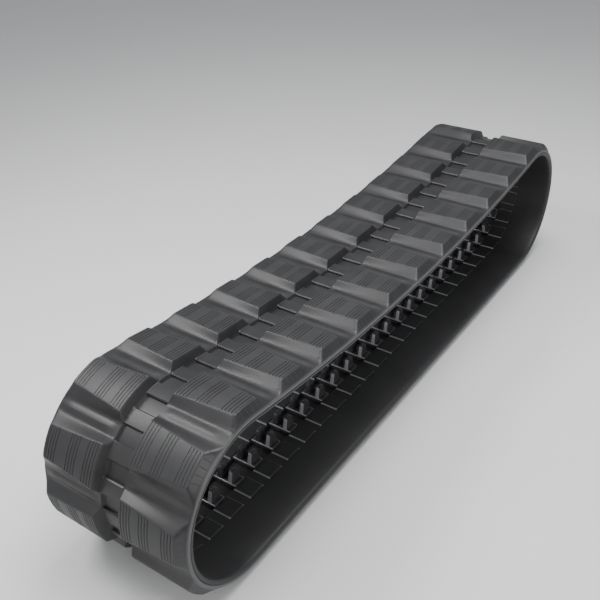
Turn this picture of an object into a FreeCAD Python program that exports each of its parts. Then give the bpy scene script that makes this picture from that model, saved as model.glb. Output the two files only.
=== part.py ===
"""Endless rubber crawler track, 450 mm wide, 86 mm pitch, 58 steel cores, standing on its ground run.

The belt is laid up from five kinds of piece: the outer rubber with its two staggered rows of tread
blocks, the steel cord plies, the forged steel cores with their guide lugs, and the left and right
bands of wheel-side rubber. The loop is divided across the sprocket pockets into eleven stretches,
which hinge at the cord line, the only line of the belt that keeps its length as it flexes.

Units are millimetres. +X runs along the ground run towards the far bend, +Y to the left, +Z up.
The origin is on the ground, under the middle of the loop's length.
"""
import FreeCAD, Part
import os
from math import atan2, cos, degrees, hypot, pi, sin, sqrt

from FreeCAD import Vector

# ---- Driving dimensions -------------------------------------------------------------------------
PITCH = 86.0                # distance from core to core along the belt
CORES = 58                  # steel cores in the whole loop
WIDTH = 450.0               # belt width
NEAR_RADIUS = 227.5         # radius of the near bend, at the outer rubber surface between blocks
FAR_RADIUS = 232.5          # the same of the far bend
SAG_RADIUS = 6180.0         # radius of the upper span's sag
FIRST_CORE = -54.5          # first core's centre, measured along the belt from the sag's near end

# Heights are measured outwards from the outer rubber surface between the blocks.
BLOCK_HEIGHT = 22.5
TREAD_BOTTOM = -10.0        # inner face of the outer rubber
PLY_TOP = -10.1             # cord plies lie under the outer rubber
PLY_BOTTOM = -12.9
BAND_BOTTOM = -23.0         # wheel-side surface between pads
PAD_BOTTOM = -27.0          # wheel-side surface of the pads
CORD_LINE = -11.5           # neutral line of the belt: all hinges lie on it

# Tread blocks: each covers two cores, and the left row is half a block pitch ahead of the right.
BLOCK_LENGTH = 131.0        # along the belt, at the base
BLOCK_SLOPE_INNER = 15.5    # run of the leading and trailing slopes at the block's inner end
BLOCK_SLOPE_OUTER = 27.5    # and at its outer end, so that the top narrows outwards
BLOCK_INNER_BASE = 34.0     # from the belt's middle to the block's inner end, at the base
BLOCK_INNER_TOP = 43.5
BLOCK_OUTER_BASE = 221.0
BLOCK_OUTER_TOP = 205.0
RIDGE_HEIGHT = 5.0          # low cross ridge in the valley between two blocks of a row
RIDGE_BASE = 18.0
RIDGE_TOP = 7.0
RIDGE_INNER = 46.0
RIDGE_OUTER = 212.0

# Belt edge
EDGE_BEVEL = 4.0
EDGE_BOTTOM = -15.0
EDGE_TAPER = 24.0           # width of the thinned edge on the wheel side
EDGE_TAPER_BOTTOM = -21.0

# Sprocket pockets, closed on the ground side by a web of outer rubber
POCKET_LENGTH = 41.0
POCKET_HALF_WIDTH = 38.0
POCKET_RECESS = -7.0        # floor of the shallow recess on the ground side
RECESS_HALF_WIDTH = 34.0

# Cord plies
PLY_INNER = 50.0
PLY_OUTER = 196.0

# Wheel-side pads
PAD_LENGTH = 58.0
PAD_INNER = 44.0
PAD_OUTER = 97.0
PAD_BEVEL = 3.0

# Steel cores
WING_REACH = 92.0           # half length of the core across the belt
WING_LENGTH = 34.0          # along the belt
WING_TOP = -14.2
WING_BOTTOM = -20.5
BRIDGE_LENGTH = 41.0        # middle part, between the sprocket pockets
BRIDGE_TOP = -11.3
BRIDGE_BOTTOM = -29.0
LUG_INNER_BASE = 12.0
LUG_OUTER_BASE = 26.0
LUG_LENGTH_BASE = 38.0
LUG_INNER_TIP = 14.0
LUG_OUTER_TIP = 22.5
LUG_LENGTH_TIP = 24.0
LUG_TIP = -63.0

END_GAP = 1.5               # each stretch stops this far short of its hinge plane

# Stretches of the loop: name, first and last hinge plane, counted in pitches along the belt.
STRETCHES = (
    ("near_span_outer", 0, 5),
    ("near_span_inner", 5, 10),
    ("far_span_inner", 10, 15),
    ("far_span_outer", 15, 20),
    ("far_bend_top", 20, 23),
    ("far_bend_mid", 23, 26),
    ("far_bend_low", 26, 29),
    ("ground_run", 29, 49),
    ("near_bend_low", 49, 52),
    ("near_bend_mid", 52, 55),
    ("near_bend_top", 55, 58),
)
BELT_LENGTH = PITCH * CORES


# ---- Belt path ----------------------------------------------------------------------------------
def bend_headings(centre_distance):
    """Headings, in radians above +X, at which the belt leaves the near bend and enters the far one."""
    rise = FAR_RADIUS - NEAR_RADIUS
    near_side = SAG_RADIUS + NEAR_RADIUS
    far_side = SAG_RADIUS + FAR_RADIUS
    span = hypot(centre_distance, rise)
    along = (near_side ** 2 - far_side ** 2 + span ** 2) / (2 * span)
    up = sqrt(near_side ** 2 - along ** 2)
    sag_x = (along * centre_distance - up * rise) / span
    sag_z = (along * rise + up * centre_distance) / span
    leaving = atan2(sag_z, sag_x) - pi / 2
    entering = atan2(sag_z - rise, sag_x - centre_distance) - pi / 2
    return leaving, entering


def runs(centre_distance):
    """The belt's four runs, as (length, curvature), from the sag's near end; left turns are positive."""
    leaving, entering = bend_headings(centre_distance)
    return [
        (SAG_RADIUS * (entering - leaving), 1 / SAG_RADIUS),
        (FAR_RADIUS * (pi + entering), -1 / FAR_RADIUS),
        (centre_distance, 0.0),
        (NEAR_RADIUS * (pi - leaving), -1 / NEAR_RADIUS),
    ]


def centre_distance_for(length):
    """Distance between the bends' centres that gives the loop this length, by halving the interval."""
    low = 0.3 * length
    high = 0.5 * length
    while high - low > 1e-9:
        middle = (low + high) / 2
        if sum(run[0] for run in runs(middle)) < length:
            low = middle
        else:
            high = middle
    return low


CENTRE_DISTANCE = centre_distance_for(BELT_LENGTH)
NEAR_CENTRE_X = (NEAR_RADIUS - CENTRE_DISTANCE - FAR_RADIUS) / 2


def laid_runs():
    """Each run with its start: (first station, length, curvature, start x, start z, start heading)."""
    heading = bend_headings(CENTRE_DISTANCE)[0]
    x = NEAR_CENTRE_X - NEAR_RADIUS * sin(heading)
    z = BLOCK_HEIGHT + NEAR_RADIUS + NEAR_RADIUS * cos(heading)
    station = 0.0
    laid = []
    for length, curvature in runs(CENTRE_DISTANCE):
        laid.append((station, length, curvature, x, z, heading))
        x, z, heading = along_run(laid[-1], length)
        station += length
    return laid


def along_run(run, distance):
    """Place and heading at a distance along one run."""
    curvature, x, z, heading = run[2:]
    if curvature == 0:
        return x + distance * cos(heading), z + distance * sin(heading), heading
    turned = heading + curvature * distance
    return x + (sin(turned) - sin(heading)) / curvature, z + (cos(heading) - cos(turned)) / curvature, turned


RUNS = laid_runs()


def belt_place(station):
    """Place and heading at a station of the belt, on the outer rubber surface between blocks."""
    station = station % BELT_LENGTH
    for run in reversed(RUNS):
        if station >= run[0]:
            return along_run(run, station - run[0])


def belt_point(station, height, y=0.0):
    x, z, heading = belt_place(station)
    return Vector(x - height * sin(heading), y, z + height * cos(heading))


# ---- Building blocks ----------------------------------------------------------------------------
def outline_face(points):
    return Part.Face(Part.makePolygon(points + points[:1]))


def upright(solid):
    """The solid turned the right way out."""
    if solid.Volume < 0:
        solid.reverse()
    return solid


def one_solid(shape):
    return shape.removeSplitter().Solids[0]


def swept(profile, start, end):
    """Solid of a (y, height) outline carried along the belt from one station to another."""
    pieces = []
    for first, length, curvature, x, z, heading in RUNS:
        for lap in (-BELT_LENGTH, 0.0, BELT_LENGTH):
            low = max(start, first + lap)
            high = min(end, first + lap + length)
            if high - low < 1e-6:
                continue
            face = outline_face([belt_point(low + 1e-9, height, y) for y, height in profile])
            if curvature == 0:
                piece = face.extrude(Vector(cos(heading), 0, sin(heading)) * (high - low))
            else:
                centre = Vector(x - sin(heading) / curvature, 0, z + cos(heading) / curvature)
                piece = face.revolve(centre, Vector(0, -1, 0), degrees(curvature * (high - low)))
            pieces.append(upright(piece))
    if len(pieces) == 1:
        return pieces[0]
    return one_solid(pieces[0].multiFuse(pieces[1:]))


def mirrored(profile, side):
    return [(side * y, height) for y, height in profile]


def hinge_station(count):
    """Station of a hinge plane, midway between two cores."""
    return FIRST_CORE + PITCH * (count + 0.5)


def stretch_ends(first, last):
    return hinge_station(first) + END_GAP, hinge_station(last) - END_GAP


# ---- Outer rubber -------------------------------------------------------------------------------
def slope_outline(centre, base, slope, top_height, y):
    """Section of a raised bar along the belt at one y, taken on above the bar's top."""
    over = 1.5 * top_height
    reach = slope * over / top_height
    half = base / 2
    corners = [
        (-half, TREAD_BOTTOM / 2),
        (-half, 0),
        (-half + reach, over),
        (0, 2 * over),
        (half - reach, over),
        (half, 0),
        (half, TREAD_BOTTOM / 2),
    ]
    points = [belt_point(centre + along, height, y) for along, height in corners]
    return Part.makePolygon(points + points[:1])


def raised_bar(centre, profile, base, slopes, top_height, ends):
    """A bar across one row of the tread, or the part of it within ends.

    Its front and back slope by the two runs in slopes, at the profile's inner and outer ends."""
    start = max(centre - base / 2, ends[0])
    end = min(centre + base / 2, ends[1])
    if end - start < 1:
        return None
    inner = slope_outline(centre, base, slopes[0], top_height, profile[0][0])
    outer = slope_outline(centre, base, slopes[1], top_height, profile[-1][0])
    sloped = upright(Part.makeLoft([inner, outer], True, True))
    return swept(profile, start, end).common(sloped).Solids[0]


def tread(first, last):
    """Outer rubber of one stretch: cover layer, tread blocks, cross ridges and pocket webs."""
    ends = stretch_ends(first, last)
    edge = WIDTH / 2
    layer = [
        (-edge, TREAD_BOTTOM),
        (-edge, -EDGE_BEVEL),
        (-edge + EDGE_BEVEL, 0),
        (edge - EDGE_BEVEL, 0),
        (edge, -EDGE_BEVEL),
        (edge, TREAD_BOTTOM),
    ]
    sunk = TREAD_BOTTOM / 2
    block = [
        (BLOCK_INNER_BASE, sunk),
        (BLOCK_INNER_BASE, 0),
        (BLOCK_INNER_TOP, BLOCK_HEIGHT),
        (BLOCK_OUTER_TOP, BLOCK_HEIGHT),
        (BLOCK_OUTER_BASE, 0),
        (BLOCK_OUTER_BASE, sunk),
    ]
    ridge = [
        (RIDGE_INNER, sunk),
        (RIDGE_INNER, RIDGE_HEIGHT),
        (RIDGE_OUTER, RIDGE_HEIGHT),
        (RIDGE_OUTER, sunk),
    ]
    bars = []
    pockets = []
    for count in range(first, last + 1):
        block_side = -1 if count % 2 == 0 else 1
        centre = hinge_station(count)
        block_slopes = (BLOCK_SLOPE_INNER, BLOCK_SLOPE_OUTER)
        ridge_slope = (RIDGE_BASE - RIDGE_TOP) / 2
        bars.append(raised_bar(centre, mirrored(block, block_side), BLOCK_LENGTH, block_slopes,
                               BLOCK_HEIGHT, ends))
        bars.append(raised_bar(centre, mirrored(ridge, -block_side), RIDGE_BASE,
                               (ridge_slope, ridge_slope), RIDGE_HEIGHT, ends))
        recess = [
            (-RECESS_HALF_WIDTH, POCKET_RECESS),
            (-RECESS_HALF_WIDTH, BLOCK_HEIGHT),
            (RECESS_HALF_WIDTH, BLOCK_HEIGHT),
            (RECESS_HALF_WIDTH, POCKET_RECESS),
        ]
        start = max(centre - POCKET_LENGTH / 2, ends[0] - END_GAP)
        end = min(centre + POCKET_LENGTH / 2, ends[1] + END_GAP)
        pockets.append(swept(recess, start, end))
    raised = [bar for bar in bars if bar is not None]
    return one_solid(swept(layer, *ends).multiFuse(raised).cut(pockets))


# ---- Cord plies ---------------------------------------------------------------------------------
def cord_plies(first, last):
    """Two calendered plies of steel cords, one each side of the sprocket pockets."""
    ply = [
        (PLY_INNER, PLY_BOTTOM),
        (PLY_INNER, PLY_TOP),
        (PLY_OUTER, PLY_TOP),
        (PLY_OUTER, PLY_BOTTOM),
    ]
    ends = stretch_ends(first, last)
    return Part.makeCompound([swept(mirrored(ply, side), *ends) for side in (1, -1)])


# ---- Steel cores --------------------------------------------------------------------------------
def core_block(length, inner, outer, bottom, top):
    return Part.makeBox(length, outer - inner, top - bottom, Vector(-length / 2, inner, bottom))


def lug_outline(inner, outer, length, height):
    half = length / 2
    corners = [(-half, inner), (half, inner), (half, outer), (-half, outer)]
    points = [Vector(x, y, height) for x, y in corners]
    return Part.makePolygon(points + points[:1])


def guide_lug():
    """Tapered left lug that keeps the belt between the wheels' flanges, standing on the bridge."""
    base = lug_outline(LUG_INNER_BASE, LUG_OUTER_BASE, LUG_LENGTH_BASE, BRIDGE_BOTTOM)
    tip = lug_outline(LUG_INNER_TIP, LUG_OUTER_TIP, LUG_LENGTH_TIP, LUG_TIP)
    return upright(Part.makeLoft([base, tip], True, True))


def steel_core():
    """One forged core about its own middle: X along the belt, Z outwards."""
    wings = core_block(WING_LENGTH, -WING_REACH, WING_REACH, WING_BOTTOM, WING_TOP)
    bridge = core_block(BRIDGE_LENGTH, -POCKET_HALF_WIDTH, POCKET_HALF_WIDTH, BRIDGE_BOTTOM, BRIDGE_TOP)
    left_lug = guide_lug()
    right_lug = left_lug.mirror(Vector(0, 0, 0), Vector(0, 1, 0))
    return one_solid(bridge.multiFuse([wings, left_lug, right_lug]))


def cores(first, last):
    core = steel_core()
    placed = []
    for count in range(first, last):
        x, z, heading = belt_place(FIRST_CORE + PITCH * (count + 1))
        turn = FreeCAD.Rotation(Vector(0, 1, 0), -degrees(heading))
        copy = core.copy()
        copy.Placement = FreeCAD.Placement(Vector(x, 0, z), turn)
        placed.append(copy)
    return Part.makeCompound(placed)


# ---- Wheel-side rubber --------------------------------------------------------------------------
def inner_band(first, last, side):
    """Wheel-side rubber of one side, with its pads, moulded round the cord ply and the cores' wings."""
    edge = WIDTH / 2
    band = [
        (POCKET_HALF_WIDTH, BAND_BOTTOM),
        (POCKET_HALF_WIDTH, PLY_TOP),
        (PLY_INNER, PLY_TOP),
        (PLY_INNER, PLY_BOTTOM),
        (PLY_OUTER, PLY_BOTTOM),
        (PLY_OUTER, PLY_TOP),
        (edge, PLY_TOP),
        (edge, EDGE_BOTTOM),
        (edge - EDGE_TAPER / 6, EDGE_TAPER_BOTTOM),
        (edge - EDGE_TAPER, BAND_BOTTOM),
    ]
    pad = [
        (PAD_INNER, BAND_BOTTOM + 1),
        (PAD_INNER, BAND_BOTTOM),
        (PAD_INNER, PAD_BOTTOM),
        (PAD_OUTER - PAD_BEVEL, PAD_BOTTOM),
        (PAD_OUTER, BAND_BOTTOM),
        (PAD_OUTER, BAND_BOTTOM + 1),
    ]
    ends = stretch_ends(first, last)
    pads = []
    for count in range(first, last):
        centre = FIRST_CORE + PITCH * (count + 1)
        pads.append(swept(mirrored(pad, side), centre - PAD_LENGTH / 2, centre + PAD_LENGTH / 2))
    return one_solid(swept(mirrored(band, side), *ends).multiFuse(pads).cut(cores(first, last)))


# ---- Output -------------------------------------------------------------------------------------
os.makedirs("parts", exist_ok=True)
for name, first, last in STRETCHES:
    nodes = {
        "tread": tread(first, last),
        "cord_plies": cord_plies(first, last),
        "cores": cores(first, last),
        "inner_left": inner_band(first, last, 1),
        "inner_right": inner_band(first, last, -1),
    }
    for kind, shape in nodes.items():
        shape.exportStep(f"parts/{name}_{kind}.step")
        print(f"{name}_{kind}: {len(shape.Solids)} solids, {shape.Volume / 1000:.1f} cm3, {shape.isValid()}")
print(f"centres {CENTRE_DISTANCE:.1f} mm apart, near centre at x {NEAR_CENTRE_X:.1f}")
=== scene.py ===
"""Rubber crawler track: the finished look, laid round the packed CAD frame.

The belt is drawn flat first, one two-core cell of each of its skins, and Geometry Nodes repeat the
cell and lay it along the belt's path. Each skin is made in lengths that reach from the middle of one
rigid stretch to the middle of the next, across the hinge between them.
"""
import bmesh
import bpy
import math
import numpy as np
from bpy.props import FloatProperty, FloatVectorProperty, IntProperty, PointerProperty
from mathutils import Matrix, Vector


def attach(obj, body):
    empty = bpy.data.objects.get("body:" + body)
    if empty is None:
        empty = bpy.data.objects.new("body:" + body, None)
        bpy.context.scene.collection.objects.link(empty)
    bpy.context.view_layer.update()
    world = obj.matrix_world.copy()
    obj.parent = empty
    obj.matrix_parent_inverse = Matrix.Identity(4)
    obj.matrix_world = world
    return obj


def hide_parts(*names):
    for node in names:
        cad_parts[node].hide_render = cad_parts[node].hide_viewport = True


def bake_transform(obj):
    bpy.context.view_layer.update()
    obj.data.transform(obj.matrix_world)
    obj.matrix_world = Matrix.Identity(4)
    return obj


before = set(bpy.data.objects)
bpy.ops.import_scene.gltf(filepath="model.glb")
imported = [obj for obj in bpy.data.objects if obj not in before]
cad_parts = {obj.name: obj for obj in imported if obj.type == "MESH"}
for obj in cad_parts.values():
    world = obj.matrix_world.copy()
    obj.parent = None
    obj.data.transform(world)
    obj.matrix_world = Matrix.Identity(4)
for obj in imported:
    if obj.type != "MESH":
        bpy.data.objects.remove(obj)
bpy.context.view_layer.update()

bl_info = {
    "name": "Rubber crawler track",
    "version": (1, 0, 0),
    "blender": (4, 5, 0),
    "location": "3D View > Sidebar > Track",
    "description": "Moulded tread, wheel-side rubber, steel cores and cord plies of a crawler track",
    "category": "Object",
}

MM = 0.001
LINE_STEP = 4 * MM                  # step of the closed curve that stands for the belt's path
MERGE = 0.01 * MM                   # points of two cells this close become one
SHARP_RUBBER = math.radians(32)     # edges that turn more than this are drawn sharp
SHARP_STEEL = math.radians(40)
SEAM_LAP = 0.8 * MM                 # how far the rubber's two cut ends reach past the open plane
SEAM_END = 1.5 * MM                 # points this close to a cut end go with it


def srgb(code):
    """Linear red, green and blue of an sRGB hex colour."""
    parts = [int(code[i:i + 2], 16) / 255 for i in (1, 3, 5)]
    return tuple(p / 12.92 if p <= 0.04045 else ((p + 0.055) / 1.055) ** 2.4 for p in parts)


def placed(name, data):
    """A new object in the scene with this data."""
    thing = bpy.data.objects.new(name, data)
    bpy.context.scene.collection.objects.link(thing)
    return thing


def length(name, about, default):
    return FloatProperty(name=name, description=about, default=default, unit="LENGTH", precision=5)


def colour(name, about, code):
    return FloatVectorProperty(name=name, description=about, default=srgb(code), subtype="COLOR",
                               size=3, min=0, max=1)


# ---- Sizes and colours --------------------------------------------------------------------------
class BeltSizes(bpy.types.PropertyGroup):
    """The belt itself: its path and its section. Heights are measured outwards."""
    pitch: length("Pitch", "Distance from core to core along the belt", 86 * MM)
    cores: IntProperty(name="Cores", description="Steel cores in the loop", default=58, min=8)
    near_radius: length("Near bend", "Radius of the near bend at the outer surface", 227.5 * MM)
    far_radius: length("Far bend", "Radius of the far bend at the outer surface", 232.5 * MM)
    sag_radius: length("Sag", "Radius of the upper span's sag", 6180 * MM)
    first_core: length("First core", "Station of the first core from the sag's near end", -54.5 * MM)
    half_width: length("Half width", "From the belt's middle to its edge", 225 * MM)
    edge_round: length("Edge rounding", "Radius of the outer rubber's edge", 4 * MM)
    tread_bottom: length("Cover thickness", "Depth of the outer rubber's inner face", 9.6 * MM)
    cord_line: length("Cord line", "Depth of the cord line, where the belt hinges", 11.5 * MM)
    bend_zone: length("Bend zone", "Half length of rubber that bends at a hinge", 20 * MM)


class TreadSizes(bpy.types.PropertyGroup):
    """Tread blocks, cross ridges, grooves and the outer side of the sprocket pockets."""
    height: length("Block height", "Tread block above the outer rubber surface", 22.5 * MM)
    half_length: length("Half block", "Half the block's length at its base", 65.5 * MM)
    run_inner: length("Slope at inner end", "Run of the front and back slopes, inner end", 15.5 * MM)
    run_outer: length("Slope at outer end", "Run of the front and back slopes, outer end", 29 * MM)
    inner_base: length("Inner base", "Belt middle to the block's base", 34 * MM)
    inner_top: length("Inner top", "Belt middle to the block's top", 43.5 * MM)
    outer_top: length("Outer top", "Belt middle to the outer end of the top", 205 * MM)
    outer_base: length("Outer base", "Belt middle to the outer end of the base", 221 * MM)
    top_round: length("Top rounding", "How far the top edges are rounded", 2.6 * MM)
    hip_round: length("Hip rounding", "How far the hips at the outer end are rounded", 7 * MM)
    base_round: length("Base fillet", "How far the base runs out into the valley", 8 * MM)
    ridge_height: length("Ridge height", "Low cross ridge between two blocks", 2.9 * MM)
    ridge_half: length("Half ridge", "Half the ridge's length at its base", 19 * MM)
    ridge_inner: length("Ridge's inner end", "Length over which it rises from the web", 28 * MM)
    ridge_outer: length("Ridge's outer end", "Length over which it falls to the edge", 40 * MM)
    groove_depth: length("Groove depth", "Fine grooves along the block tops", 1.3 * MM)
    groove_width: length("Groove width", "Width of one groove", 3.6 * MM)
    groove_pitch: length("Groove pitch", "Distance between grooves of a group", 8.7 * MM)
    groove_end: length("Groove end", "Length over which a groove runs out", 2.6 * MM)
    pocket_half: length("Half pocket", "Half the pocket's length along the belt", 20.5 * MM)
    pocket_floor: length("Pocket floor", "Depth of the pocket's floor", 8.5 * MM)
    pocket_bank: length("Pocket bank", "Run of the pocket's side towards the blocks", 5 * MM)
    pocket_chamfer: length("Pocket chamfer", "Chamfer at the pocket's two ends", 3 * MM)


class WheelSideSizes(bpy.types.PropertyGroup):
    """Wheel-side rubber with its roller pads."""
    inner_edge: length("Inner edge", "Belt middle to the band's inner edge", 38 * MM)
    depth: length("Band depth", "Depth of the wheel-side surface", 23 * MM)
    pad_rise: length("Pad rise", "Roller pad above the wheel-side surface", 4 * MM)
    pad_half: length("Half pad", "Half the pad's length along the belt", 29 * MM)
    pad_end: length("Pad end", "Run of the pad's two ends", 3.4 * MM)
    pad_bevel: length("Pad bevel", "Run of the pad's outer side", 2.6 * MM)
    pad_inner: length("Pad inner edge", "Belt middle to the pad", 40.2 * MM)
    pad_outer: length("Pad outer edge", "Belt middle to the pad's outer edge", 97 * MM)
    ply_inner: length("Ply inner edge", "Belt middle to the cord ply", 49.6 * MM)
    ply_outer: length("Ply outer edge", "Belt middle to the ply's outer edge", 196.4 * MM)
    ply_bottom: length("Ply bottom", "Depth of the cord ply's inner face", 13.3 * MM)


class CoreSizes(bpy.types.PropertyGroup):
    """Forged steel cores with their guide lugs."""
    wing_reach: length("Wing reach", "Half length across the belt", 92 * MM)
    wing_half: length("Half wing", "Half the wing's length along the belt", 17 * MM)
    wing_top: length("Wing top", "Depth of the wing's outer face", 14.2 * MM)
    wing_bottom: length("Wing bottom", "Depth of the wing's wheel-side face", 20.5 * MM)
    bridge_length: length("Bridge length", "Along the belt", 41 * MM)
    bridge_half: length("Half bridge", "Half width of the bridge across the belt", 38 * MM)
    bridge_top: length("Bridge top", "Depth of the bridge's outer face", 11.3 * MM)
    bridge_bottom: length("Bridge bottom", "Depth of the bridge's wheel-side face", 29 * MM)
    lug_tip: length("Lug tip", "Depth of the guide lugs' tips", 63 * MM)
    lug_root_half: length("Half lug at root", "Half the lug's length along the belt", 19 * MM)
    lug_tip_half: length("Half lug at tip", "Half the lug's length along the belt", 12 * MM)
    lug_root_inner: length("Lug root, inner", "Belt middle to the lug's inner side", 12 * MM)
    lug_tip_inner: length("Lug tip, inner", "Belt middle to the lug's inner side", 13 * MM)
    lug_root_outer: length("Lug root, outer", "Belt middle to the lug's outer side", 26 * MM)
    lug_tip_outer: length("Lug tip, outer", "Belt middle to the lug's outer side", 24.5 * MM)


class TrackColours(bpy.types.PropertyGroup):
    """Colours of the finishes, as sRGB."""
    rubber: colour("Rubber", "Moulded rubber, carbon black", "#19191a")
    # lighter rubber tone: the wax bloom, and the painted light on the block tops
    lighter_rubber: colour("Lighter rubber", "Lighter bloom of wax on the rubber", "#2d2d2f")
    # light grey tone of the painted highlights on the belt edges and the pad ends
    rubber_highlight: colour("Rubber highlight", "Belt edges and pad ends scuffed grey", "#77777a")
    steel: colour("Forged steel", "Forged core steel under its bonding coat", "#464648")
    steel_scale: colour("Forging scale", "Darker scale in the hollows", "#303032")
    # painted highlight on the cores' bridge edges and right-hand lug faces
    steel_highlight: colour("Steel highlight", "Painted highlight on the steel's lit edges and faces", "#98989a")
    brass: colour("Cord brass", "Brass plating of the steel cords", "#a08a55")
    floor: colour("Floor", "Pale studio floor", "#e2e2e2")


class StageSettings(bpy.types.PropertyGroup):
    """Camera, floor and lights."""
    camera_place: FloatVectorProperty(name="Camera", description="Camera position", size=3,
                                      default=(-1.9054, -1.0807, 1.6198), subtype="TRANSLATION")
    camera_turn: FloatVectorProperty(name="Camera turn", description="Camera rotation", size=3,
                                     default=(1.00803, 0.01880, -0.97333), subtype="EULER")
    lens: FloatProperty(name="Lens", description="Focal length in mm on a 36 mm sensor", default=47.88)
    floor_size: length("Floor", "Half the floor's side", 30.0)
    sky: FloatProperty(name="Sky", description="Strength of the even light from all round", default=0.44)
    overhead: FloatProperty(name="Overhead", description="Power of the overhead light, W", default=130)
    key: FloatProperty(name="Key", description="Power of the key light, W", default=50)
    front: FloatProperty(name="Front fill", description="Power of the front light, W", default=16)
    fill: FloatProperty(name="Side fill", description="Power of the side light, W", default=45)


SIZE_GROUPS = {
    "track_belt": BeltSizes,
    "track_tread": TreadSizes,
    "track_wheel_side": WheelSideSizes,
    "track_core": CoreSizes,
    "track_colours": TrackColours,
    "track_stage": StageSettings,
}


def sizes(name):
    return getattr(bpy.context.scene, name)


# ---- Belt path ----------------------------------------------------------------------------------
def bend_headings(centres, belt):
    """Headings, in radians above +X, at which the belt leaves the near bend and enters the far one."""
    rise = belt.far_radius - belt.near_radius
    near_side = belt.sag_radius + belt.near_radius
    far_side = belt.sag_radius + belt.far_radius
    span = math.hypot(centres, rise)
    along = (near_side ** 2 - far_side ** 2 + span ** 2) / (2 * span)
    up = math.sqrt(near_side ** 2 - along ** 2)
    sag_x = (along * centres - up * rise) / span
    sag_z = (along * rise + up * centres) / span
    leaving = math.atan2(sag_z, sag_x) - math.pi / 2
    entering = math.atan2(sag_z - rise, sag_x - centres) - math.pi / 2
    return leaving, entering


def belt_runs(centres, belt):
    """The belt's four runs as (length, curvature), from the sag's near end; left turns are positive."""
    leaving, entering = bend_headings(centres, belt)
    return [
        (belt.sag_radius * (entering - leaving), 1 / belt.sag_radius),
        (belt.far_radius * (math.pi + entering), -1 / belt.far_radius),
        (centres, 0.0),
        (belt.near_radius * (math.pi - leaving), -1 / belt.near_radius),
    ]


def along_run(run, distance):
    """Place and heading at a distance along one run."""
    curvature, x, z, heading = run[2:]
    if curvature == 0:
        return x + distance * math.cos(heading), z + distance * math.sin(heading), heading
    turned = heading + curvature * distance
    x += (math.sin(turned) - math.sin(heading)) / curvature
    z += (math.cos(heading) - math.cos(turned)) / curvature
    return x, z, turned


def laid_runs():
    """Each run with its start: (first station, length, curvature, start x, start z, heading)."""
    belt = sizes("track_belt")
    loop = belt.pitch * belt.cores
    low, high = 0.3 * loop, 0.5 * loop
    for _ in range(60):
        centres = (low + high) / 2
        if sum(run[0] for run in belt_runs(centres, belt)) < loop:
            low = centres
        else:
            high = centres
    heading = bend_headings(centres, belt)[0]
    near_centre = (belt.near_radius - centres - belt.far_radius) / 2
    block_height = sizes("track_tread").height
    x = near_centre - belt.near_radius * math.sin(heading)
    z = block_height + belt.near_radius + belt.near_radius * math.cos(heading)
    station = 0.0
    laid = []
    for run_length, curvature in belt_runs(centres, belt):
        laid.append((station, run_length, curvature, x, z, heading))
        x, z, heading = along_run(laid[-1], run_length)
        station += run_length
    return laid


def belt_point(station, height):
    """The point at a station of the belt, at a height above the outer rubber surface."""
    belt = sizes("track_belt")
    station %= belt.pitch * belt.cores
    run = [run for run in laid_runs() if run[0] <= station][-1]
    x, z, heading = along_run(run, station - run[0])
    return Vector((x - height * math.sin(heading), 0, z + height * math.cos(heading)))


def plane_station(count):
    """Station of a hinge plane, which lies midway between two cores."""
    belt = sizes("track_belt")
    return belt.first_core + belt.pitch * (count + 0.5)


def belt_line():
    """The outer rubber surface's line as a closed curve, for the node trees to lay things on."""
    curve = bpy.data.curves.new("belt_line", "CURVE")
    curve.dimensions = "3D"
    spline = curve.splines.new("POLY")
    belt = sizes("track_belt")
    loop = belt.pitch * belt.cores
    steps = round(loop / LINE_STEP)
    spline.points.add(steps - 1)
    runs = laid_runs()
    for index in range(steps):
        station = loop * index / steps
        run = [run for run in runs if run[0] <= station][-1]
        x, z, _ = along_run(run, station - run[0])
        spline.points[index].co = (x, 0, z, 1)
    spline.use_cyclic_u = True
    return placed("belt_line", curve)


# ---- Sections of the belt -----------------------------------------------------------------------
# CAD stretches with their first and last hinge planes, and the body that each belongs to.
STRETCHES = {
    "near_span_outer": (58, 63, "near_span_outer"),
    "near_span_inner": (63, 68, "near_span_inner"),
    "far_span_inner": (10, 15, "far_span_inner"),
    "far_span_outer": (15, 20, "far_span_outer"),
    "far_bend_top": (20, 23, "far_bend_top"),
    "far_bend_mid": (23, 26, "far_bend_mid"),
    "far_bend_low": (26, 29, "ground_run"),
    "ground_run": (29, 49, "ground_run"),
    "near_bend_low": (49, 52, "ground_run"),
    "near_bend_mid": (52, 55, "near_bend_mid"),
    "near_bend_top": (55, 58, "near_bend_top"),
}

# Lengths of rubber: first and last plane, both in the middle of a rigid stretch, and the hinge between.
LENGTHS = {
    "far_span_mid": (10, 12, None),
    "far_span": (12, 18, 15),
    "far_shoulder": (18, 22, 20),
    "far_bend_upper": (22, 24, 23),
    "far_bend_lower": (24, 28, 26),
    "ground_far": (28, 38, None),
    "ground_near": (38, 50, None),
    "near_bend_lower": (50, 54, 52),
    "near_bend_upper": (54, 56, 55),
    "near_shoulder": (56, 60, 58),
    "near_span": (60, 66, 63),
    "near_span_mid": (66, 68, None),
}


def stretches_between(first, last):
    return [name for name, (low, high, _) in STRETCHES.items() if low < last and high > first]


def join_to_bodies(piece, first, last, hinge):
    """Rides a length of rubber on its body; a length across a hinge is baked in place, on no body."""
    if hinge is None:
        body = STRETCHES[stretches_between(first, last)[0]][2]
        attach(piece, body)
        return
    belt = sizes("track_belt")
    station = plane_station(hinge)
    belt_point(station - belt.bend_zone, -belt.cord_line)
    belt_point(station + belt.bend_zone, -belt.cord_line)
    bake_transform(piece)


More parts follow.
